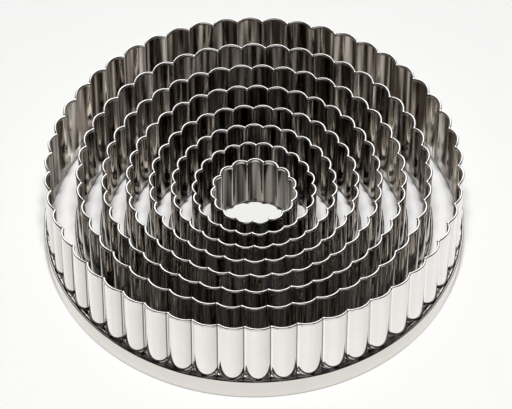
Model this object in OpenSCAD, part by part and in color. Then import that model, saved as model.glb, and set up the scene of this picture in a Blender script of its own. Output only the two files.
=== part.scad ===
// Set of round biscuit cutters, nested one inside the next and standing on the worktop.
// Each cutter is two-edged: a fluted cutting edge on top and a plain cutting edge underneath.
// It has two pieces of thin polished steel sheet: a fluted wall and the plain collar at its foot.
// Cutter 1 is the largest and cutter 8 the smallest. All dimensions are in millimetres.
// The origin is on the worktop at the middle of the set, and +Z points up.

/* [Diameters] */

// Diameter of the smallest cutter, over its flutes
smallest_d = 21; // [19:0.5:26]

// Diameter step from cutter 8 to cutter 7
step_7 = 9; // [8:0.5:14]

// Diameter step from cutter 7 to cutter 6
step_6 = 10; // [8:0.5:14]

// Diameter step from cutter 6 to cutter 5
step_5 = 10.5; // [8:0.5:14]

// Diameter step from cutter 5 to cutter 4
step_4 = 11; // [8:0.5:14]

// Diameter step from cutter 4 to cutter 3
step_3 = 11.5; // [8:0.5:16]

// Diameter step from cutter 3 to cutter 2
step_2 = 12; // [8:0.5:16]

// Diameter step from cutter 2 to cutter 1
step_1 = 15; // [8:0.5:20]

/* [Heights] */

// Height of the smallest cutter
smallest_h = 16; // [12:0.5:24]

// Extra height of a larger cutter, as a share of its extra diameter
height_share = 0.105; // [0:0.005:0.2]

// Height of the plain collar on the smallest cutter
smallest_collar_h = 1.4; // [1:0.1:3]

// Extra height of a larger cutter's collar, as a share of its extra diameter
collar_share = 0.056; // [0:0.002:0.08]

/* [Flutes] */

// Number of flutes round cutter 8
flutes_8 = 15; // [13:1:17]

// Number of flutes round cutter 7
flutes_7 = 22; // [18:1:24]

// Number of flutes round cutter 6
flutes_6 = 27; // [24:1:30]

// Number of flutes round cutter 5
flutes_5 = 31; // [28:1:35]

// Number of flutes round cutter 4
flutes_4 = 37; // [33:1:40]

// Number of flutes round cutter 3
flutes_3 = 41; // [37:1:45]

// Number of flutes round cutter 2
flutes_2 = 44; // [40:1:48]

// Number of flutes round cutter 1
flutes_1 = 50; // [46:1:56]

// Depth of a flute as a share of its width
flute_depth_share = 0.18; // [0.1:0.01:0.2]

// How far the top edge dips from a crest to a valley, as a share of the cutter's diameter
rim_dip_share = 0.0045; // [0:0.0005:0.007]

// Height over which each valley slants out to the collar
valley_foot_h = 2.1; // [1:0.1:3]

/* [Sheet and edges] */

// Thickness of the steel sheet
sheet_t = 0.4; // [0.3:0.05:0.5]

// Height of the rolled edge along the top of the flutes
rim_h = 0.8; // [0.6:0.05:1.2]

// How far the rolled edge stands out from the sheet on each side
rim_out = 0.12; // [0.08:0.02:0.3]

// Radius of the bead rolled round the top of the collar
bead_r = 0.34; // [0.25:0.01:0.45]

// How far the plain lap of the wall stands out past the crests
lap_out = 0.05; // [0.03:0.01:0.1]

// Gap between the collar and the lap of the wall inside it
lap_gap = 0.05; // [0.03:0.01:0.1]

// Share of the collar's height that the wall's lap reaches down
lap_share = 0.6; // [0.4:0.05:0.8]

/* [Hidden] */

$fn = 96;

// Diameters over the flutes, from cutter 1 to cutter 8, built up from the smallest so that they nest.
d_8 = smallest_d;
d_7 = d_8 + step_7;
d_6 = d_7 + step_6;
d_5 = d_6 + step_5;
d_4 = d_5 + step_4;
d_3 = d_4 + step_3;
d_2 = d_3 + step_2;
d_1 = d_2 + step_1;
diameters = [d_1, d_2, d_3, d_4, d_5, d_6, d_7, d_8];

flutes = [flutes_1, flutes_2, flutes_3, flutes_4, flutes_5, flutes_6, flutes_7, flutes_8];

// Angle from the front (-Y) round to the nearest crest. Each cutter lies turned by chance.
turns = [1.1, 0.2, 1, 3.2, 0.5, 6.7, 6.2, 10.3];

// Radius at the crests, and how much wider than the smallest cutter this one is.
function crest_r(k) = diameters[k - 1] / 2;
function extra_d(k) = diameters[k - 1] - smallest_d;

// Heights of the cutter and of its collar.
function cutter_h(k) = smallest_h + height_share * extra_d(k);
function collar_h(k) = smallest_collar_h + collar_share * extra_d(k);

// Half the angle that one flute takes up, and how deep the flute is.
function half_angle(k) = 180 / flutes[k - 1];
function flute_depth(k) = flute_depth_share * PI * diameters[k - 1] / flutes[k - 1];
function valley_r(k) = crest_r(k) - flute_depth(k);

// A lobe is an arc through two valleys and the crest between them.
// lobe_at is the distance of its centre from the axis and lobe_r its radius.
function lobe_at(k) = (pow(crest_r(k), 2) - pow(valley_r(k), 2))
    / (2 * (crest_r(k) - valley_r(k) * cos(half_angle(k))));
function lobe_r(k) = crest_r(k) - lobe_at(k);

// Distance from the axis at which two neighbouring lobes meet, with their arcs grown by grow.
function meet_r(k, grow) = lobe_at(k) * cos(half_angle(k))
    + sqrt(pow(lobe_r(k) + grow, 2) - pow(lobe_at(k) * sin(half_angle(k)), 2));

// Outer radius of the plain lap, and inner radius of the collar that it slips into.
function lap_r(k) = crest_r(k) + lap_out;
function collar_r(k) = lap_r(k) + lap_gap;

// How far the top edge dips, and its height at a distance r from the axis.
function rim_dip(k) = rim_dip_share * diameters[k - 1];
function rim_z(k, r) = cutter_h(k) - rim_dip(k) * (crest_r(k) + rim_out - r) / flute_depth(k);

// Area inside the fluted outline of cutter k, with every arc grown outwards by grow.
module fluted_area(k, grow = 0) {
    circle(r = lobe_at(k));
    for (i = [0 : flutes[k - 1] - 1]) {
        rotate(2 * i * half_angle(k))
            translate([lobe_at(k), 0])
                circle(r = lobe_r(k) + grow);
    }
}

// Fluted column from z = low up past the top edge, which above_rim then cuts to its height.
module fluted_column(k, low, grow = 0) {
    translate([0, 0, low])
        linear_extrude(height = cutter_h(k) + sheet_t - low)
            fluted_area(k, grow);
}

// Everything above the top edge. Its underside is the shallow cone that the rim lies on.
module above_rim(k) {
    near = valley_r(k) - 3 * sheet_t;
    far = crest_r(k) + 3 * sheet_t;
    top = cutter_h(k) + 3 * sheet_t;
    rotate_extrude()
        polygon([
            [near, rim_z(k, near)],
            [far, rim_z(k, far)],
            [far, top],
            [near, top]
        ]);
}

// Cone that carries the valleys of the outline, grown by grow, out to the plain lap.
// It runs a little past the point where the valleys meet it.
module valley_foot(k, grow = 0) {
    past = 1.05;
    low_r = lap_r(k) + grow;
    translate([0, 0, collar_h(k)])
        cylinder(h = past * valley_foot_h, r1 = low_r, r2 = low_r - past * (low_r - meet_r(k, grow)));
}

// Sheet bent into lobes, with the valleys slanting out at the foot.
module lobed_sheet(k) {
    difference() {
        union() {
            fluted_column(k, collar_h(k));
            valley_foot(k);
        }
        fluted_column(k, collar_h(k), -sheet_t);
        valley_foot(k, -sheet_t);
    }
}

// Rolled edge: a thicker band that follows the flutes along the top.
module rolled_edge(k) {
    low = cutter_h(k) - rim_dip(k) - rim_h;
    difference() {
        fluted_column(k, low, rim_out);
        fluted_column(k, low, -sheet_t - rim_out);
    }
}

// Plain ring at the bottom of the wall that slips inside the collar.
module plain_lap(k) {
    lap_h = collar_h(k) * lap_share;
    translate([0, 0, collar_h(k) - lap_h])
        linear_extrude(height = lap_h)
            difference() {
                circle(r = lap_r(k));
                circle(r = lap_r(k) - sheet_t);
            }
}

// Fluted wall in one piece, cut to the height of its top edge.
module fluted_wall(k) {
    difference() {
        union() {
            lobed_sheet(k);
            rolled_edge(k);
            plain_lap(k);
        }
        above_rim(k);
    }
}

// Plain collar: a straight band that carries the plain cutting edge, with a bead at its top.
module plain_collar(k) {
    rotate_extrude()
        union() {
            translate([collar_r(k), 0])
                square([sheet_t, collar_h(k) - bead_r]);
            translate([collar_r(k) + bead_r, collar_h(k) - bead_r])
                circle(r = bead_r);
        }
}

// Turns cutter k about the axis to the place it lies in.
module turned(k) {
    rotate(turns[k - 1] - 90)
        children();
}

// The sixteen pieces, two for each cutter. A plain collar looks the same however it is turned.
module cutter_1_wall() { color("gainsboro") turned(1) fluted_wall(1); }
module cutter_2_wall() { color("gainsboro") turned(2) fluted_wall(2); }
module cutter_3_wall() { color("gainsboro") turned(3) fluted_wall(3); }
module cutter_4_wall() { color("gainsboro") turned(4) fluted_wall(4); }
module cutter_5_wall() { color("gainsboro") turned(5) fluted_wall(5); }
module cutter_6_wall() { color("gainsboro") turned(6) fluted_wall(6); }
module cutter_7_wall() { color("gainsboro") turned(7) fluted_wall(7); }
module cutter_8_wall() { color("gainsboro") turned(8) fluted_wall(8); }

module cutter_1_collar() { color("silver") plain_collar(1); }
module cutter_2_collar() { color("silver") plain_collar(2); }
module cutter_3_collar() { color("silver") plain_collar(3); }
module cutter_4_collar() { color("silver") plain_collar(4); }
module cutter_5_collar() { color("silver") plain_collar(5); }
module cutter_6_collar() { color("silver") plain_collar(6); }
module cutter_7_collar() { color("silver") plain_collar(7); }
module cutter_8_collar() { color("silver") plain_collar(8); }

cutter_1_wall();
cutter_1_collar();
cutter_2_wall();
cutter_2_collar();
cutter_3_wall();
cutter_3_collar();
cutter_4_wall();
cutter_4_collar();
cutter_5_wall();
cutter_5_collar();
cutter_6_wall();
cutter_6_collar();
cutter_7_wall();
cutter_7_collar();
cutter_8_wall();
cutter_8_collar();
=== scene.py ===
# %% [markdown]
# # A nested set of round biscuit cutters
#
# The set is eight loose rings of thin polished steel, one inside the next, standing on a white
# worktop. Each ring cuts with two edges: a fluted wall with a rolled rim on top, and a plain
# collar at the foot. The rings could be modelled one by one, but all of them follow one rule,
# so this lesson writes the rule down once, as Geometry Nodes, and runs it for each size.

# %% Load the solid model that fixes every size and place
import math

import bpy
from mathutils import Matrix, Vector


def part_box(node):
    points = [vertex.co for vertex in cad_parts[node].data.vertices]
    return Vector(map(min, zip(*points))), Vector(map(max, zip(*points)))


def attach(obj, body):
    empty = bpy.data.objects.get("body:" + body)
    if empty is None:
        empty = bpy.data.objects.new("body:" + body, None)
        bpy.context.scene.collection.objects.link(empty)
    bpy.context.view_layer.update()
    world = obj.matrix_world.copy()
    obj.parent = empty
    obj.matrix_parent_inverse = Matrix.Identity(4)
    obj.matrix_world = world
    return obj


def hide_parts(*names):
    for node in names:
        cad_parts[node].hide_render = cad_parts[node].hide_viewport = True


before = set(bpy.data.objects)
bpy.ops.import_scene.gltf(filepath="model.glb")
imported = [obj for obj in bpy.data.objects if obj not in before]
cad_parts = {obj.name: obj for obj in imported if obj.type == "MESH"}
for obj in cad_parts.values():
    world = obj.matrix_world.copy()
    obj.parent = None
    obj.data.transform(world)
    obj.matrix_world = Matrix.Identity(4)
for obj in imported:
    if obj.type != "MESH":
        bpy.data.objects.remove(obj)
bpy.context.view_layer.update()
scene = bpy.context.scene

# %% [markdown]
# ## Sizes of the sheet
#
# The large sizes come from the solid model: the radius and height of each cutter are measured
# on its two solids. What can't be read from a box is written here in millimetres, as on a
# workshop drawing: the sheet, the rolled rim, the bead on the collar and the flutes. Flutes are
# counted, because the real rings are crimped on dies with a whole number of teeth. Sizes that
# grow with the cutter are shares: the lap and the valleys' feet of the collar's height, the dip
# of the rim of the diameter, and the depth of a flute of its width.

# %% Millimetre sizes shared by all the cutters
MM = 0.001
SHEET = 0.4 * MM
RIM_OUT = 0.12 * MM
COLLAR_BEAD_R = 0.34 * MM
LAP_OUT = 0.05 * MM
LAP_GAP = 0.05 * MM
LAP_SHARE = 0.6
RIM_DIP_SHARE = 0.0045
VALLEY_FOOT_SHARE = 0.38
FLUTE_DEPTH_SHARE = 0.18

# From cutter 1, the largest, to cutter 8: flutes, and degrees from the front to the first crest.
FLUTES = [50, 44, 41, 37, 31, 27, 22, 15]
TURNS = [1.1, 0.2, 1.0, 3.2, 0.5, 6.7, 6.2, 10.3]
print(f"sheet {SHEET / MM:.1f} mm thick, {sum(FLUTES)} flutes in all")


# %% Measure each cutter on its solids
def measure_cutter(number):
    """Sizes of one cutter, in metres and radians, worked out from its two solids."""
    low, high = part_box(f"cutter_{number}_collar")
    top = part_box(f"cutter_{number}_wall")[1].z
    lap_r = (high.x - low.x) / 2 - 2 * COLLAR_BEAD_R - LAP_GAP
    crest_r = lap_r - LAP_OUT
    flutes = FLUTES[number - 1]
    half_angle = math.pi / flutes
    depth = FLUTE_DEPTH_SHARE * 2 * crest_r * half_angle
    valley_r = crest_r - depth
    lobe_at = (crest_r**2 - valley_r**2) / (2 * (crest_r - valley_r * math.cos(half_angle)))
    return {
        "number": number,
        "flutes": flutes,
        "turn": math.radians(TURNS[number - 1] - 90) - half_angle,
        "crest_r": crest_r,
        "depth": depth,
        "lap_r": lap_r,
        "collar_r": lap_r + LAP_GAP,
        "lobe_at": lobe_at,
        "lobe_r": crest_r - lobe_at,
        "collar_h": high.z,
        "top": top,
    }


cutters = [measure_cutter(number) for number in range(1, 9)]
for cutter in cutters:
    print(
        f"cutter {cutter['number']}: {2 * cutter['crest_r'] / MM:.1f} mm across, "
        f"{cutter['top'] / MM:.1f} mm high, collar {cutter['collar_h'] / MM:.1f} mm"
    )

# %% [markdown]
# ## One small helper for every node
#
# Both the shapes and the finishes below are node trees. A tree written in a script is easiest to
# read when each node is one call that names its kind, its settings and what feeds it. The
# commonest kinds have long names, so they get short ones. A colour mix has many sockets, most of
# them hidden, so the places of the ones in use have names too.

# %% Add a node with its settings and links
MATH = "ShaderNodeMath"
MIX = "ShaderNodeMix"
NOISE = "ShaderNodeTexNoise"
RANGE = "ShaderNodeMapRange"
ATTRIBUTE = "ShaderNodeAttribute"
SHARE, FIRST, SECOND, MIXED = 0, 6, 7, 2


def add(tree, kind, feeds=(), stops=(), **settings):
    """Adds one node and returns it.

    feeds maps an input's name or place to a value, an output, or a node whose first output is
    meant. stops are the (place, colour) pairs of a colour ramp, in order.
    """
    node = tree.nodes.new(kind)
    for name, value in settings.items():
        setattr(node, name, value)
    for place, colour in stops[1:-1]:
        node.color_ramp.elements.new(place).color = colour
    for end, stop in ((0, stops[:1]), (-1, stops[-1:])):
        for place, colour in stop:
            node.color_ramp.elements[end].position = place
            node.color_ramp.elements[end].color = colour
    pairs = feeds.items() if isinstance(feeds, dict) else enumerate(feeds)
    for key, value in pairs:
        if isinstance(value, bpy.types.Node):
            value = value.outputs[0]
        if isinstance(value, bpy.types.NodeSocket):
            tree.links.new(value, node.inputs[key])
        else:
            node.inputs[key].default_value = value
    return node


print("short names:", MATH, MIX, NOISE, RANGE, ATTRIBUTE)

# %% [markdown]
# ## Colours and blank materials
#
# Colours are read off a screen as sRGB hex values, but light adds up in linear values, so one
# function turns the first into the second. Another starts a material with an empty tree, because
# every finish below is built from its first node on.


# %% Turn an sRGB hex colour into linear values
def linear(hex_colour):
    """Linear red, green, blue and alpha of a colour such as "c8c4bf"."""
    parts = [int(hex_colour[i : i + 2], 16) / 255 for i in (0, 2, 4)]
    return [p / 12.92 if p <= 0.04045 else ((p + 0.055) / 1.055) ** 2.4 for p in parts] + [1.0]


print("middle grey 808080 is", round(linear("808080")[0], 3), "in linear values")


# %% Start a material
def blank_material(name):
    """New material of that name and its empty node tree."""
    material = bpy.data.materials.new(name)
    material.use_nodes = True
    material.node_tree.nodes.clear()
    return material, material.node_tree


# %% [markdown]
# ## Finish of the fluted walls
#
# The walls are bright-rolled stainless steel sheet, crimped on dies and buffed on the outside.
# Polished steel takes its look from what it mirrors, so the finish is mostly reflection: a metal
# with a very low roughness. Four things break up the mirror:
#
# - Across each flute the colour is painted light: a painted highlight along the crease, the flute
#   lighter on one side and a little darker further on, and a thin painted shadow line just before
#   the next crease.
# - Nearly black painted shade sits in the crease along which the valley's foot meets the flute.
# - The inside of a ring is darker and browner, in upright streaks: partly the sheet's browner
#   skin, partly painted shade of the deep gaps between the rings. The wide rings are painted
#   lighter inside than the narrow ones, as painted light and shade.
# - A thin film from washing up, also in streaks, hides some of the mirror and shows as haze,
#   most of all inside the widest ring.
#
# How far a point lies across its flute, how close it is to the foot's crease and whether it is
# inside the ring are attributes that the shape's own tree stores, because no pattern in space
# could follow the flutes.

# %% Tones of the walls
# Outside, from valley to valley across a flute, all painted light: a painted highlight in the
# crease, lighter on one side, darker further on, and a thin painted shadow line before the next.
FLUTE_PAINTED_LIGHT = [
    (0.0, linear("fbfaf8")),
    (0.03, linear("fbfaf8")),
    (0.07, linear("ebe8e5")),
    (0.35, linear("f1efec")),
    (0.75, linear("e2dfdb")),
    (0.93, linear("d3cfca")),
    (0.945, linear("817b74")),
    (0.975, linear("655e57")),
    (1.0, linear("fbfaf8")),
]
# Inside: dark streaks, partly the sheet's skin and partly painted shade of the deep gaps.
INNER_DARK_SKIN_AND_SHADE = linear("3d342c")
INNER_LIGHT = linear("c6bdb3")
# Painted shade, nearly black, for the crease where a valley's foot meets the flute.
FOOT_CREASE_SHADE_COLOUR = linear("17130f")
# Painted highlight along each ridge inside.
RIDGE_HIGHLIGHT = linear("f1ede7")
# Inside, a painted highlight along the ridges alone: how much of that colour shows across a flute.
HIGHLIGHT_ON = linear("e0e0e0")
HIGHLIGHT_OFF = linear("000000")
RIDGE_HIGHLIGHT_SHARES = [
    (0.0, HIGHLIGHT_ON),
    (0.025, HIGHLIGHT_ON),
    (0.05, HIGHLIGHT_OFF),
    (0.98, HIGHLIGHT_OFF),
    (1.0, HIGHLIGHT_ON),
]
print("tones across a flute:", len(FLUTE_PAINTED_LIGHT))

# %% Patterns of the walls
# Real polishing lines are finer than a picture can show, so they are drawn this coarse.
DRAW_LINE = 0.3 * MM
STREAK = 1.7 * MM
FILM_STREAK = 1.2 * MM
BLOTCH = 6 * MM
# A pattern that runs up the wall is noise stretched along Z.
UPRIGHT = (1.0, 1.0, 0.03)
BLOTCH_GRAIN = 0.6


def wall_patterns(tree):
    """The noise patterns of a wall: fine lines, streaks, films and blotches, by name."""
    place = add(tree, "ShaderNodeTexCoord").outputs["Object"]
    upright = add(tree, "ShaderNodeMapping", {"Vector": place, "Scale": UPRIGHT})
    return {
        "place": place,
        "lines": add(tree, NOISE, {"Vector": upright, "Scale": 1 / DRAW_LINE, "Detail": 2.0}),
        "streaks": add(tree, NOISE, {"Vector": upright, "Scale": 1 / STREAK, "Detail": 1.0}),
        "films": add(tree, NOISE, {"Vector": upright, "Scale": 1 / FILM_STREAK, "Detail": 0.0}),
        "marks": add(
            tree,
            NOISE,
            {"Vector": place, "Scale": 1 / BLOTCH, "Detail": 3.0, "Roughness": BLOTCH_GRAIN},
        ),
    }


print("patterns of the walls, mm:", [round(v / MM, 1) for v in (DRAW_LINE, STREAK, BLOTCH)])

# %% How wide the ring is that a point belongs to
NARROW_TO_WIDE = (10 * MM, 48 * MM)


def ring_width(tree, place):
    """0 on the smallest ring and 1 on the largest, from the distance to the common axis."""
    spread = add(tree, "ShaderNodeVectorMath", [place, (1.0, 1.0, 0.0)], operation="MULTIPLY")
    spread = add(tree, "ShaderNodeVectorMath", [spread], operation="LENGTH").outputs["Value"]
    return add(tree, RANGE, [spread, *NARROW_TO_WIDE, 0.0, 1.0])


print("rings run from narrow to wide between", [v / MM for v in NARROW_TO_WIDE], "mm off the axis")

# %% Colour of the walls
# A pair is the two ends of a range (EDGES), or a factor and what is added to it.
STREAK_EDGES = (0.42, 0.62)
# How the painted shade in the foot's crease fades out.
FOOT_SHADE_EDGES = (0.15, 0.45)
# Inside, wide rings painted lighter and narrow ones darker: painted light and shade of the gaps.
WIDE_RING_LIGHTER = (1.6, 0.45)
WALL_SHADE = (0.12, 0.94)


def wall_colour(tree, seen, wide, inside):
    """Painted highlights and shade outside, streaks and painted shade inside, and faint blotches.
    """
    across = add(tree, ATTRIBUTE, attribute_name="across").outputs["Fac"]
    # Outside: the painted highlights, shade and dark line across each flute.
    part = add(tree, MATH, [across, 0.5, 0.5], operation="MULTIPLY_ADD")
    outer = add(tree, "ShaderNodeValToRGB", [part], stops=FLUTE_PAINTED_LIGHT)
    # Inside: dark and light streaks, the dark partly painted shade of the deep gaps.
    contrast = add(tree, RANGE, [seen["streaks"], *STREAK_EDGES, 0.0, 1.0])
    inner = add(
        tree, MIX, {SHARE: contrast, FIRST: INNER_DARK_SKIN_AND_SHADE, SECOND: INNER_LIGHT}, data_type="RGBA"
    ).outputs[MIXED]
    # Painted light: the inside of wide rings lighter, of narrow ones darker.
    wide_ring_lighter = add(tree, MATH, [wide, *WIDE_RING_LIGHTER], operation="MULTIPLY_ADD")
    inner = add(
        tree,
        MIX,
        {SHARE: 1.0, FIRST: inner, SECOND: wide_ring_lighter},
        data_type="RGBA",
        blend_type="MULTIPLY",
    ).outputs[MIXED]
    # Painted highlight along the ridges inside.
    ridge_highlight = add(tree, "ShaderNodeValToRGB", [part], stops=RIDGE_HIGHLIGHT_SHARES)
    inner = add(
        tree, MIX, {SHARE: ridge_highlight, FIRST: inner, SECOND: RIDGE_HIGHLIGHT}, data_type="RGBA"
    ).outputs[MIXED]
    colour = add(
        tree, MIX, {SHARE: inside, FIRST: outer, SECOND: inner}, data_type="RGBA"
    ).outputs[MIXED]
    # Painted shade, nearly black, in the crease where the valley's foot meets the flute.
    foot_crease_shade = add(tree, ATTRIBUTE, attribute_name="foot_crease_shade").outputs["Fac"]
    foot_crease_shade = add(tree, RANGE, [foot_crease_shade, *FOOT_SHADE_EDGES, 0.0, 1.0])
    colour = add(
        tree, MIX, {SHARE: foot_crease_shade, FIRST: colour, SECOND: FOOT_CREASE_SHADE_COLOUR}, data_type="RGBA"
    ).outputs[MIXED]
    shade = add(tree, MATH, [seen["marks"], *WALL_SHADE], operation="MULTIPLY_ADD")
    return add(
        tree,
        MIX,
        {SHARE: 1.0, FIRST: colour, SECOND: shade},
        data_type="RGBA",
        blend_type="MULTIPLY",
    ).outputs[MIXED]


# %% Film and gloss of the walls
# The film covers under a tenth of the surface outside, and nearly all of the widest ring's inside
# in its thickest streaks. The power keeps that to the widest ring.
FILM_EDGES = (0.35, 0.7)
FILM_POWER = 6.0
FILM_INSIDE = (0.85, 0.05)
FILM_OUTSIDE = 0.08
# Roughness: a buffed mirror, duller in blotches and along lines, inside and under the film.
WALL_GLOSS = (0.04, 0.01)
GLOSS_OF_LINES = 0.02
GLOSS_INSIDE = 0.03
GLOSS_OF_FILM = 0.3


def wall_film(tree, seen, wide, inside):
    """How much of the metal the film hides at a point."""
    film = add(tree, RANGE, [seen["films"], *FILM_EDGES, 0.0, 1.0])
    share = add(tree, MATH, [wide, FILM_POWER], operation="POWER")
    share = add(tree, MATH, [share, *FILM_INSIDE], operation="MULTIPLY_ADD")
    share = add(tree, MATH, [inside, share, FILM_OUTSIDE], operation="MULTIPLY_ADD")
    return add(tree, MATH, [film, share], operation="MULTIPLY")


def wall_gloss(tree, seen, film, inside):
    """Roughness at a point."""
    gloss = add(tree, MATH, [seen["marks"], *WALL_GLOSS], operation="MULTIPLY_ADD")
    gloss = add(tree, MATH, [seen["lines"], GLOSS_OF_LINES, gloss], operation="MULTIPLY_ADD")
    gloss = add(tree, MATH, [inside, GLOSS_INSIDE, gloss], operation="MULTIPLY_ADD")
    return add(tree, MATH, [film, GLOSS_OF_FILM, gloss], operation="MULTIPLY_ADD")


# %% Buffed stainless steel, crimped on dies
LINE_DEPTH = 0.01 * MM
LINE_BUMP = 0.15


def crimped_steel():
    """Mirror-bright outside, browner and streaky inside, with a film of haze."""
    material, tree = blank_material("stainless_steel_crimped_and_buffed")
    seen = wall_patterns(tree)
    wide = ring_width(tree, seen["place"])
    inside = add(tree, ATTRIBUTE, attribute_name="inside_skin").outputs["Fac"]
    colour = wall_colour(tree, seen, wide, inside)
    film = wall_film(tree, seen, wide, inside)
    metal = add(tree, MATH, [1.0, film], operation="SUBTRACT")
    gloss = wall_gloss(tree, seen, film, inside)
    bump = add(
        tree,
        "ShaderNodeBump",
        {"Strength": LINE_BUMP, "Distance": LINE_DEPTH, "Height": seen["lines"]},
    )
    steel = add(
        tree,
        "ShaderNodeBsdfPrincipled",
        {"Base Color": colour, "Metallic": metal, "Roughness": gloss, "Normal": bump},
    )
    add(tree, "ShaderNodeOutputMaterial", {"Surface": steel})
    return material


wall_steel = crimped_steel()
print("finish:", wall_steel.name)

# %% [markdown]
# ## Finish of the collars
#
# A collar is the same sheet, but rolled plain between rollers and buffed. The rollers leave very
# fine lines that run round the ring instead of up it, so its reflections are drawn out a little.
# Its inside keeps the browner skin of the sheet, as the walls' does. Its lowest fraction of a
# millimetre, where it stands on the board, is painted grey: painted shade of the contact.

# %% Tones and patterns of the collars
COLLAR_OUTER = linear("dcd8d3")
COLLAR_INNER = linear("857b72")
# Painted shade along the lowest fraction of a millimetre, where the collar stands on the board.
CONTACT_SHADE_COLOUR = linear("8f8a84")
CONTACT_SHADE_FADE = (0.15 * MM, 0.35 * MM)
# Real roller lines are finer too, and are drawn this coarse. Only the height counts much.
ROLLER_LINE = 0.15 * MM
LEVEL = (0.02, 0.02, 1.0)
COLLAR_BLOTCH = 8 * MM
# A factor and what is added to it, as for the walls.
COLLAR_SHADE = (0.16, 0.9)
COLLAR_GLOSS = (0.06, 0.01)
COLLAR_GLOSS_OF_LINES = 0.03
ROLLER_DEPTH = 0.008 * MM
ROLLER_BUMP = 0.2
print("patterns of the collars, mm:", [round(v / MM, 2) for v in (ROLLER_LINE, COLLAR_BLOTCH)])


# %% Buffed stainless steel, rolled round
def rolled_steel():
    """Mirror-bright band with fine lines that run round it."""
    material, tree = blank_material("stainless_steel_rolled_and_buffed")
    place = add(tree, "ShaderNodeTexCoord").outputs["Object"]
    inside = add(tree, ATTRIBUTE, attribute_name="inside_skin").outputs["Fac"]
    level = add(tree, "ShaderNodeMapping", {"Vector": place, "Scale": LEVEL})
    lines = add(tree, NOISE, {"Vector": level, "Scale": 1 / ROLLER_LINE, "Detail": 1.0})
    marks = add(
        tree,
        NOISE,
        {"Vector": place, "Scale": 1 / COLLAR_BLOTCH, "Detail": 3.0, "Roughness": BLOTCH_GRAIN},
    )
    colour = add(
        tree, MIX, {SHARE: inside, FIRST: COLLAR_OUTER, SECOND: COLLAR_INNER}, data_type="RGBA"
    ).outputs[MIXED]
    # Painted shade of the contact with the board, fading out upwards.
    above = add(tree, "ShaderNodeSeparateXYZ", [place]).outputs["Z"]
    contact_shade = add(tree, RANGE, [above, *CONTACT_SHADE_FADE, 1.0, 0.0])
    colour = add(
        tree, MIX, {SHARE: contact_shade, FIRST: colour, SECOND: CONTACT_SHADE_COLOUR}, data_type="RGBA"
    ).outputs[MIXED]
    shade = add(tree, MATH, [marks, *COLLAR_SHADE], operation="MULTIPLY_ADD")
    colour = add(
        tree,
        MIX,
        {SHARE: 1.0, FIRST: colour, SECOND: shade},
        data_type="RGBA",
        blend_type="MULTIPLY",
    ).outputs[MIXED]
    gloss = add(tree, MATH, [marks, *COLLAR_GLOSS], operation="MULTIPLY_ADD")
    gloss = add(tree, MATH, [lines, COLLAR_GLOSS_OF_LINES, gloss], operation="MULTIPLY_ADD")
    bump = add(
        tree,
        "ShaderNodeBump",
        {"Strength": ROLLER_BUMP, "Distance": ROLLER_DEPTH, "Height": lines},
    )
    steel = add(
        tree,
        "ShaderNodeBsdfPrincipled",
        {"Base Color": colour, "Metallic": 1.0, "Roughness": gloss, "Normal": bump},
    )
    add(tree, "ShaderNodeOutputMaterial", {"Surface": steel})
    return material


collar_steel = rolled_steel()
print("finish:", collar_steel.name)

# %% [markdown]
# ## The section through a wall
#
# Cut the wall with a knife and its section is a closed loop: up the outside, over the rolled rim,
# and down the inside. The loop is drawn as a small mesh in which x is how far the point stands
# out from the outside of the sheet and z is its height. Each point also knows whether it belongs
# to the inside of the ring. Rows are close together at the foot, where the valleys slant out,
# and run a little past its top.

# %% Rows of points up the sheet
FOOT_ROWS = 18
UPPER_ROWS = 4
CORNER = 0.04 * MM
LAST_LAP_ROW = 0.1 * MM
UNDER_RIM = 1.0 * MM
# The foot is made a little higher and deeper than the valley, so that the two always cross.
PAST = 1.15


def sheet_rows(cutter):
    """Heights of the rows of points up one side of the sheet, from the lap to the rim."""
    lap_low = cutter["collar_h"] * (1 - LAP_SHARE)
    foot_low = cutter["collar_h"]
    foot_top = foot_low + PAST * VALLEY_FOOT_SHARE * cutter["collar_h"]
    rim_low = cutter["top"] - UNDER_RIM
    foot = [foot_low + (foot_top - foot_low) * (i / FOOT_ROWS) ** 2 for i in range(FOOT_ROWS + 1)]
    upper = [foot_top + (rim_low - foot_top) * i / UPPER_ROWS for i in range(1, UPPER_ROWS + 1)]
    return [lap_low + CORNER, foot_low - LAST_LAP_ROW] + foot + upper


print("rows up cutter 1's sheet:", len(sheet_rows(cutters[0])))

# %% Section of a fluted wall
RIM_ROWS = 14


def wall_section(cutter):
    """Closed loop of (stand-out, height, inside) points through one wall."""
    rim_r = SHEET / 2 + RIM_OUT
    rim_z = cutter["top"] - rim_r
    start = -math.acos(SHEET / 2 / rim_r)
    rows = sheet_rows(cutter)
    lap_low = rows[0] - CORNER
    loop = [(-CORNER, lap_low, 0.0)]
    loop += [(0.0, z, 0.0) for z in rows]
    for i in range(RIM_ROWS + 1):
        angle = start + (math.pi - 2 * start) * i / RIM_ROWS
        loop.append((-SHEET / 2 + rim_r * math.cos(angle), rim_z + rim_r * math.sin(angle), 0.0))
    loop += [(-SHEET, z, 1.0) for z in reversed(rows)]
    loop.append((-SHEET + CORNER, lap_low, 1.0))
    return loop


def section_object(name, loop):
    """Mesh object of one closed loop of edges, with the inside marked on its points."""
    mesh = bpy.data.meshes.new(name)
    edges = [(i, (i + 1) % len(loop)) for i in range(len(loop))]
    mesh.from_pydata([(x, 0, z) for x, z, _ in loop], edges, [])
    mark = mesh.attributes.new("inside_skin", "FLOAT", "POINT")
    for i, (_, _, inside) in enumerate(loop):
        mark.data[i].value = inside
    piece = bpy.data.objects.new(name, mesh)
    scene.collection.objects.link(piece)
    return piece


print("points in the section of cutter 1:", len(wall_section(cutters[0])))

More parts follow.
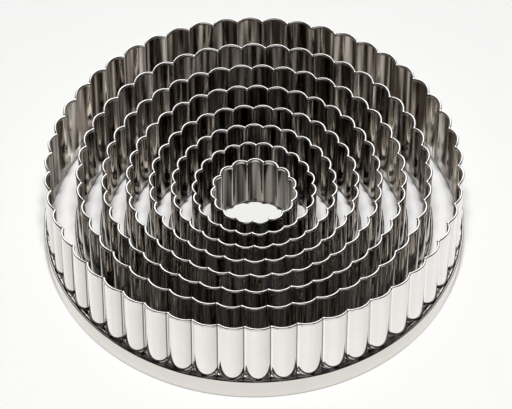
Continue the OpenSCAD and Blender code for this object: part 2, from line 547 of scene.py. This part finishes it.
# %% [markdown]
# ## The rule of the fluted wall
#
# Seen from above, a fluted ring is a row of equal arcs. Their centres lie on a circle, and two
# neighbouring arcs meet in a narrow valley. So the distance from the axis follows from the angle
# alone, and offsetting the sheet only changes the arc's radius, which keeps the sheet equally
# thick all the way. A wave such as a sine would be simpler, but its valleys would be as round as
# its crests, and the real ones are pinched. The tree sweeps the section round a circle and
# then moves each point to where the rule puts it.

# %% Geometry Nodes: the inputs of a ring
def tree_with_inputs(name, inputs):
    """New Geometry Nodes tree with geometry in and out and the named inputs."""
    tree = bpy.data.node_groups.new(name, "GeometryNodeTree")
    tree.interface.new_socket("Section", in_out="INPUT", socket_type="NodeSocketGeometry")
    for label, kind in inputs:
        tree.interface.new_socket(label, in_out="INPUT", socket_type=kind)
    tree.interface.new_socket("Ring", in_out="OUTPUT", socket_type="NodeSocketGeometry")
    return tree


# %% Geometry Nodes: sweep a section round a circle
STORE = "GeometryNodeStoreNamedAttribute"
SWEEP_NOTES = ("stand_out", "height", "step")


def swept_section(tree, section, rail_points):
    """Sweeps the section round a circle. Returns the geometry, stand-out, height and step."""
    corner = add(tree, "ShaderNodeSeparateXYZ", [add(tree, "GeometryNodeInputPosition")]).outputs
    marked = add(tree, STORE, {"Geometry": section, "Name": "stand_out", "Value": corner["X"]})
    marked = add(tree, STORE, {"Geometry": marked, "Name": "height", "Value": corner["Z"]})
    profile = add(tree, "GeometryNodeMeshToCurve", [marked])
    circle = add(tree, "GeometryNodeCurvePrimitiveCircle", {"Resolution": rail_points})
    place = add(tree, "GeometryNodeInputIndex")
    rail = add(tree, STORE, {"Geometry": circle, "Name": "step", "Value": place})
    swept = add(tree, "GeometryNodeCurveToMesh", {"Curve": rail, "Profile Curve": profile})
    read = [
        add(tree, "GeometryNodeInputNamedAttribute", {"Name": label}) for label in SWEEP_NOTES
    ]
    return [swept] + read


def placed_ring(tree, swept, radius, angle, height, material):
    """Moves every point to its radius, angle and height, and gives the ring its finish."""
    cosine = add(tree, MATH, [angle], operation="COSINE")
    sine = add(tree, MATH, [angle], operation="SINE")
    x = add(tree, MATH, [radius, cosine], operation="MULTIPLY")
    y = add(tree, MATH, [radius, sine], operation="MULTIPLY")
    place = add(tree, "ShaderNodeCombineXYZ", [x, y, height])
    ring = add(tree, "GeometryNodeSetPosition", {"Geometry": swept, "Position": place})
    ring = add(tree, "GeometryNodeSetShadeSmooth", [ring])
    ring = add(tree, "GeometryNodeRealizeInstances", [ring])
    ring = add(tree, "GeometryNodeSetMaterial", {"Geometry": ring, "Material": material})
    add(tree, "NodeGroupOutput", [ring])


# %% Geometry Nodes: the plan of the flutes
POINTS_PER_FLUTE = 20
# How much closer the points lie in the valleys, from 0 (evenly spaced) towards 1.
CROWDING = 0.7
# The round in a valley's crease, as a share of half a flute.
CREASE = 0.04


def point_across(tree, step, given):
    """Place of a point across its own flute, its angle off the crest, and its angle in all."""
    turned = add(tree, MATH, [step, given["Points per flute"]], operation="DIVIDE")
    flute = add(tree, MATH, [turned], operation="FLOOR")
    within = add(tree, MATH, [turned, flute], operation="SUBTRACT")
    # -1 in one valley, 0 on the crest, 1 in the next valley.
    even = add(tree, MATH, [within, 2.0, -1.0], operation="MULTIPLY_ADD")
    # Points are drawn towards the valleys, which bend most.
    wave = add(tree, MATH, [even, math.pi], operation="MULTIPLY")
    wave = add(tree, MATH, [wave], operation="SINE")
    across = add(tree, MATH, [wave, CROWDING / math.pi, even], operation="MULTIPLY_ADD")
    half = add(tree, MATH, [math.pi, given["Flutes"]], operation="DIVIDE")
    off_crest = add(tree, MATH, [across, half], operation="MULTIPLY")
    middle = add(tree, MATH, [flute, 2.0, 1.0], operation="MULTIPLY_ADD")
    middle = add(tree, MATH, [middle, half, given["Turn"]], operation="MULTIPLY_ADD")
    angle = add(tree, MATH, [middle, off_crest], operation="ADD")
    return across, half, off_crest, angle


def lobe_radius(tree, half, off_crest, stand_out, given):
    """Distance from the axis to the arc at an angle, with a small round in the valley's crease."""
    aside = add(tree, MATH, [off_crest], operation="ABSOLUTE")
    gap = add(tree, MATH, [half, aside], operation="SUBTRACT")
    crease = add(tree, MATH, [given["Crease"], half], operation="MULTIPLY")
    crease = add(tree, MATH, [crease, crease], operation="MULTIPLY")
    rounded = add(tree, MATH, [gap, gap, crease], operation="MULTIPLY_ADD")
    rounded = add(tree, MATH, [rounded], operation="SQRT")
    eased = add(tree, MATH, [half, rounded], operation="SUBTRACT")
    arc_r = add(tree, MATH, [given["Lobe radius"], stand_out], operation="ADD")
    cosine = add(tree, MATH, [eased], operation="COSINE")
    sine = add(tree, MATH, [eased], operation="SINE")
    along = add(tree, MATH, [given["Lobe centre"], cosine], operation="MULTIPLY")
    beside = add(tree, MATH, [given["Lobe centre"], sine], operation="MULTIPLY")
    beside = add(tree, MATH, [beside, beside], operation="MULTIPLY")
    arc_r = add(tree, MATH, [arc_r, arc_r], operation="MULTIPLY")
    reach = add(tree, MATH, [arc_r, beside], operation="SUBTRACT")
    reach = add(tree, MATH, [reach], operation="SQRT")
    return add(tree, MATH, [along, reach], operation="ADD")


# %% Geometry Nodes: the foot of the valleys
# How softly the foot bends into the flute, how far from that line the painted shade reaches, and
# the share of the foot's height above which there is none.
BEND = 0.06 * MM
FOOT_SHADE_REACH = 0.14 * MM
FOOT_TOP = 0.98


def with_foot(tree, lobe, above, stand_out, given):
    """Radius after the valleys are carried out to the plain lap, and where painted shade sits."""
    share = add(tree, MATH, [above, given["Foot height"]], operation="DIVIDE")
    share = add(tree, MATH, [share, 1.0], operation="MINIMUM")
    round_off = add(tree, MATH, [2.0, share], operation="SUBTRACT")
    hollow = add(tree, MATH, [share, round_off], operation="MULTIPLY")
    hollow = add(tree, MATH, [hollow], operation="SQRT")
    inset = add(tree, MATH, [hollow, given["Flute depth"]], operation="MULTIPLY")
    inset = add(tree, MATH, [inset, PAST], operation="MULTIPLY")
    plain = add(tree, MATH, [given["Plain radius"], stand_out], operation="ADD")
    foot = add(tree, MATH, [plain, inset], operation="SUBTRACT")
    radius = add(tree, MATH, [lobe, foot, given["Bend"]], operation="SMOOTH_MAX")
    # Painted shade darkens the crease along which the foot meets the flute.
    apart = add(tree, MATH, [lobe, foot], operation="SUBTRACT")
    apart = add(tree, MATH, [apart], operation="ABSOLUTE")
    apart = add(tree, MATH, [apart, given["Foot shade reach"]], operation="DIVIDE")
    near = add(tree, MATH, [1.0, apart], operation="SUBTRACT")
    near = add(tree, MATH, [near, 0.0], operation="MAXIMUM")
    low = add(tree, MATH, [share, FOOT_TOP], operation="LESS_THAN")
    return radius, add(tree, MATH, [near, low], operation="MULTIPLY")


# %% Geometry Nodes: the dip of the rim
def with_dip(tree, radius, above, height, stand_out, given):
    """Height after the top edge is let down towards the valleys."""
    sheet_r = add(tree, MATH, [radius, stand_out], operation="SUBTRACT")
    crest_r = add(tree, MATH, [given["Lobe centre"], given["Lobe radius"]], operation="ADD")
    inward = add(tree, MATH, [crest_r, sheet_r], operation="SUBTRACT")
    inward = add(tree, MATH, [inward, given["Flute depth"]], operation="DIVIDE")
    whole = add(tree, MATH, [given["Top"], given["Collar height"]], operation="SUBTRACT")
    rise = add(tree, MATH, [above, whole], operation="DIVIDE")
    dip = add(tree, MATH, [inward, rise], operation="MULTIPLY")
    dip = add(tree, MATH, [dip, given["Rim dip"]], operation="MULTIPLY")
    dip = add(tree, MATH, [dip, 0.0], operation="MAXIMUM")
    return add(tree, MATH, [height, dip], operation="SUBTRACT")


# %% Geometry Nodes: the whole fluted wall
WALL_INPUTS = [
    ("Flutes", "NodeSocketInt"),
    ("Points per flute", "NodeSocketInt"),
    ("Lobe centre", "NodeSocketFloat"),
    ("Lobe radius", "NodeSocketFloat"),
    ("Plain radius", "NodeSocketFloat"),
    ("Collar height", "NodeSocketFloat"),
    ("Top", "NodeSocketFloat"),
    ("Flute depth", "NodeSocketFloat"),
    ("Turn", "NodeSocketFloat"),
    ("Crease", "NodeSocketFloat"),
    ("Rim dip", "NodeSocketFloat"),
    ("Foot height", "NodeSocketFloat"),
    ("Bend", "NodeSocketFloat"),
    ("Foot shade reach", "NodeSocketFloat"),
    ("Finish", "NodeSocketMaterial"),
]


def fluted_wall_tree():
    """The tree that turns a section into one fluted wall."""
    tree = tree_with_inputs("Fluted wall", WALL_INPUTS)
    given = add(tree, "NodeGroupInput").outputs
    count = add(tree, MATH, [given["Flutes"], given["Points per flute"]], operation="MULTIPLY")
    swept, stand_out, height, step = swept_section(tree, given["Section"], count)
    across, half, off_crest, angle = point_across(tree, step, given)
    swept = add(tree, STORE, {"Geometry": swept, "Name": "across", "Value": across})
    lobe = lobe_radius(tree, half, off_crest, stand_out, given)
    above = add(tree, MATH, [height, given["Collar height"]], operation="SUBTRACT")
    above = add(tree, MATH, [above, 0.0], operation="MAXIMUM")
    radius, foot_crease_shade = with_foot(tree, lobe, above, stand_out, given)
    # Stores where the painted shade in the foot's crease lies.
    swept = add(tree, STORE, {"Geometry": swept, "Name": "foot_crease_shade", "Value": foot_crease_shade})
    dipped = with_dip(tree, radius, above, height, stand_out, given)
    placed_ring(tree, swept, radius, angle, dipped, given["Finish"])
    return tree


wall_tree = fluted_wall_tree()
print("nodes in the wall's tree:", len(wall_tree.nodes))

# %% [markdown]
# ## Running a tree
#
# A modifier stores its inputs under the sockets' identifiers. They are set before the object is
# looked at for the first time. The result is then copied into a plain mesh and the modifier is
# taken off, so that nothing depends on the tree any more.


# %% Bake a section and a tree into a ring
def baked_ring(name, loop, tree, sizes):
    """Runs the tree on the section and leaves a plain mesh object of that name."""
    piece = section_object(name, loop)
    modifier = piece.modifiers.new("ring", "NODES")
    modifier.node_group = tree
    for item in tree.interface.items_tree:
        if item.in_out == "INPUT" and item.name in sizes:
            modifier[item.identifier] = sizes[item.name]
    graph = bpy.context.evaluated_depsgraph_get()
    mesh = bpy.data.meshes.new_from_object(
        piece.evaluated_get(graph), preserve_all_data_layers=True, depsgraph=graph
    )
    mesh.name = name
    piece.modifiers.remove(modifier)
    piece.data = mesh
    for label in SWEEP_NOTES:
        if label in mesh.attributes:
            mesh.attributes.remove(mesh.attributes[label])
    if not mesh_faces_outwards(mesh):
        mesh.flip_normals()
    return piece


def mesh_faces_outwards(mesh):
    """True when the closed mesh's faces point out of the steel: its signed volume is positive."""
    mesh.calc_loop_triangles()
    corners = [vertex.co for vertex in mesh.vertices]
    volume = 0.0
    for triangle in mesh.loop_triangles:
        a, b, c = (corners[i] for i in triangle.vertices)
        volume += a.dot(b.cross(c))
    return volume > 0


# %% Make the eight fluted walls
for cutter in cutters:
    wall = baked_ring(
        f"fluted_wall_{cutter['number']}",
        wall_section(cutter),
        wall_tree,
        {
            "Flutes": cutter["flutes"],
            "Points per flute": POINTS_PER_FLUTE,
            "Lobe centre": cutter["lobe_at"],
            "Lobe radius": cutter["lobe_r"],
            "Plain radius": cutter["lap_r"],
            "Collar height": cutter["collar_h"],
            "Top": cutter["top"],
            "Flute depth": cutter["depth"],
            "Turn": cutter["turn"],
            "Crease": CREASE,
            "Rim dip": RIM_DIP_SHARE * 2 * cutter["crest_r"],
            "Foot height": VALLEY_FOOT_SHARE * cutter["collar_h"],
            "Bend": BEND,
            "Foot shade reach": FOOT_SHADE_REACH,
            "Finish": wall_steel,
        },
    )
    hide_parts(f"cutter_{cutter['number']}_wall")
    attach(wall, f"cutter_{cutter['number']}")
    print(wall.name, "faces:", len(wall.data.polygons))

# %% [markdown]
# ## The collars
#
# A collar is a straight band with a bead rolled over at its top. Its section is swept round a
# circle in the same way, and here the rule is only a radius, so its tree is short.

# %% Section of a collar
BEAD_ROWS = 18
JUST_UNDER = 0.97


def collar_section(cutter):
    """Closed loop of (stand-out, height, inside) points through one collar."""
    bead_z = cutter["collar_h"] - COLLAR_BEAD_R
    under = -math.acos((SHEET - COLLAR_BEAD_R) / COLLAR_BEAD_R)
    loop = [(CORNER, 0.0, 1.0), (0.0, CORNER, 1.0), (0.0, bead_z / 2, 1.0)]
    for i in range(BEAD_ROWS + 1):
        angle = math.pi + (under - math.pi) * i / BEAD_ROWS
        spot = (COLLAR_BEAD_R * (1 + math.cos(angle)), bead_z + COLLAR_BEAD_R * math.sin(angle))
        loop.append((*spot, 0.0))
    low = loop[-1][1]
    loop += [(SHEET, low * JUST_UNDER, 0.0), (SHEET, low / 2, 0.0), (SHEET, CORNER, 0.0)]
    loop.append((SHEET - CORNER, 0.0, 0.0))
    return loop


print("points in the section of collar 1:", len(collar_section(cutters[0])))


# %% Geometry Nodes tree of a plain ring
def plain_ring_tree():
    """The tree that turns a section into one plain ring."""
    tree = tree_with_inputs(
        "Plain ring",
        [
            ("Points", "NodeSocketInt"),
            ("Inner radius", "NodeSocketFloat"),
            ("Finish", "NodeSocketMaterial"),
        ],
    )
    given = add(tree, "NodeGroupInput").outputs
    swept, stand_out, height, step = swept_section(tree, given["Section"], given["Points"])
    radius = add(tree, MATH, [given["Inner radius"], stand_out], operation="ADD")
    whole = add(tree, MATH, [step, 2 * math.pi], operation="MULTIPLY")
    angle = add(tree, MATH, [whole, given["Points"]], operation="DIVIDE")
    placed_ring(tree, swept, radius, angle, height, given["Finish"])
    return tree


ring_tree = plain_ring_tree()
print("nodes in the collar's tree:", len(ring_tree.nodes))

# %% Make the eight collars
COLLAR_POINTS = 384

for cutter in cutters:
    collar = baked_ring(
        f"rolled_collar_{cutter['number']}",
        collar_section(cutter),
        ring_tree,
        {"Points": COLLAR_POINTS, "Inner radius": cutter["collar_r"], "Finish": collar_steel},
    )
    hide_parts(f"cutter_{cutter['number']}_collar")
    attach(collar, f"cutter_{cutter['number']}")
    print(collar.name, "faces:", len(collar.data.polygons))

# %% [markdown]
# ## The worktop
#
# The set stands on a plain white board. The background of the picture is the board's own colour,
# and it is wide enough to fill every view from above. The lamp is set so that the board stays
# just short of white and keeps the shadows of the rings.

# %% White board
BOARD_HALF = 3.0
BOARD_WHITE = linear("fbfbfa")
BOARD_ROUGHNESS = 0.5
BOARD_SHEEN = 0.2


def white_board():
    """Plain pale floor, nearly white."""
    material, tree = blank_material("white_board_satin")
    board = add(
        tree,
        "ShaderNodeBsdfPrincipled",
        {
            "Base Color": BOARD_WHITE,
            "Roughness": BOARD_ROUGHNESS,
            "Specular IOR Level": BOARD_SHEEN,
        },
    )
    add(tree, "ShaderNodeOutputMaterial", {"Surface": board})
    return material


mesh = bpy.data.meshes.new("floor")
corners = [(-1, -1), (1, -1), (1, 1), (-1, 1)]
mesh.from_pydata([(BOARD_HALF * x, BOARD_HALF * y, 0) for x, y in corners], [], [(0, 1, 2, 3)])
floor = bpy.data.objects.new("floor", mesh)
floor.data.materials.append(white_board())
scene.collection.objects.link(floor)
print("board:", 2 * BOARD_HALF, "m square")

# %% [markdown]
# ## The room that the steel mirrors
#
# Polished steel shows the room. Upright walls never show the sky to someone who looks down on
# them: they show the board, or each other. The rims, the beads and the slanting feet of the
# valleys do show it, and their thin black and white lines say what the room was like: a white
# tent behind the set that reaches nearly overhead, a dark part above and in front, where the
# camera looks in, and a pale part low in front. So the tent is a ramp over the angle from the
# back horizon (0) over the zenith (0.5) to the front horizon (1), and it is no wider than the set
# needs: at the left and right the room is dark, which keeps the rims' white lines thin there. Only
# reflections see it. Everything else gets a weak even fill, and past the board's end the camera
# sees plain white.

# %% White tent with a dark opening for the camera
TENT_LEVELS = [
    (0.0, 0.3),
    (0.1, 0.9),
    (0.2, 1.0),
    (0.37, 1.0),
    (0.42, 0.01),
    (0.8, 0.01),
    (0.82, 0.5),
    (1.0, 0.6),
]
SIDE_LEVELS = [(0.0, 1.0), (0.35, 1.0), (0.5, 0.1), (1.0, 0.1)]
TENT_STRENGTH = 1.9
FILL_STRENGTH = 0.08
WHITE = linear("ffffff")

world = bpy.data.worlds.new("white tent")
scene.world = world
world.use_nodes = True
tree = world.node_tree
tree.nodes.clear()
way = add(tree, "ShaderNodeSeparateXYZ", [add(tree, "ShaderNodeTexCoord")]).outputs
arch = add(tree, MATH, [way["Z"], way["Y"]], operation="ARCTAN2")
arch = add(tree, MATH, [arch, math.pi], operation="DIVIDE")
side = add(tree, MATH, [way["X"]], operation="ABSOLUTE")
levels = [
    add(
        tree,
        "ShaderNodeValToRGB",
        [place],
        stops=[(spot, (level, level, level, 1.0)) for spot, level in stops],
    )
    for place, stops in ((arch, TENT_LEVELS), (side, SIDE_LEVELS))
]
level = add(tree, MATH, levels, operation="MULTIPLY")
tent = add(tree, "ShaderNodeBackground", [level, TENT_STRENGTH])
fill = add(tree, "ShaderNodeBackground", [WHITE, FILL_STRENGTH])
plain = add(tree, "ShaderNodeBackground", [WHITE, 1.0])
ray = add(tree, "ShaderNodeLightPath").outputs
both = add(tree, "ShaderNodeMixShader", [ray["Is Camera Ray"], fill, plain])
room = add(tree, "ShaderNodeMixShader", [ray["Is Glossy Ray"], both, tent])
add(tree, "ShaderNodeOutputWorld", [room])
print("stops of the tent:", [round(s.position, 3) for s in levels[0].color_ramp.elements])

# %% [markdown]
# ## The lamp
#
# One wide lamp hangs high in front of the set. It shines straight down the gaps at the left and
# right, which run towards it, and lights the board at their bottom. The gaps in front and behind
# lie across its light, so the walls keep it out and their mirrors turn black. The steel doesn't
# mirror the lamp itself, as if it stood behind a screen.

# %% Lamp above the camera
LAMP_AWAY = 2.5
LAMP_UP = math.radians(70)
LAMP_WIDTH = 0.6
LAMP_DEPTH = 0.3
LAMP_WATTS = 58.5

lamp = bpy.data.lights.new("lamp", "AREA")
lamp.shape = "RECTANGLE"
lamp.size = LAMP_WIDTH
lamp.size_y = LAMP_DEPTH
lamp.energy = LAMP_WATTS
lit = bpy.data.objects.new("lamp", lamp)
lit.location = (0, -LAMP_AWAY * math.cos(LAMP_UP), LAMP_AWAY * math.sin(LAMP_UP))
lit.rotation_euler = (math.pi / 2 - LAMP_UP, 0, 0)
lit.visible_glossy = False
scene.collection.objects.link(lit)
# Colours are shown as they are written, with no film look over them.
scene.view_settings.view_transform = "Standard"
print("lamp:", [round(v, 2) for v in lit.location], "m, facing the set")

# %% [markdown]
# ## Camera
#
# The set is photographed from in front, looking down at almost 49 degrees with a long lens.
# Distances are in radii of the largest cutter, because that is what the picture gives. The camera
# aims at a point just above the middle of the set.

# %% Place the camera
LOOK_DOWN = math.radians(48.71)
UNIT = cutters[0]["crest_r"]
AWAY = 18.0 * UNIT
AIM_SIDE = 0.009 * UNIT
AIM_UP = 0.218 * UNIT
FOCAL_PIXELS = 3740
IMAGE_W = 512
SENSOR_W = 36.0

ahead = Vector((0, math.cos(LOOK_DOWN), -math.sin(LOOK_DOWN)))
lens = bpy.data.cameras.new("camera")
lens.sensor_width = SENSOR_W
lens.lens = FOCAL_PIXELS / IMAGE_W * SENSOR_W
camera = bpy.data.objects.new("camera", lens)
camera.location = Vector((AIM_SIDE, 0, AIM_UP)) - AWAY * ahead
camera.rotation_euler = (math.pi / 2 - LOOK_DOWN, 0, 0)
scene.collection.objects.link(camera)
scene.camera = camera
print("camera:", [round(v, 4) for v in camera.location])
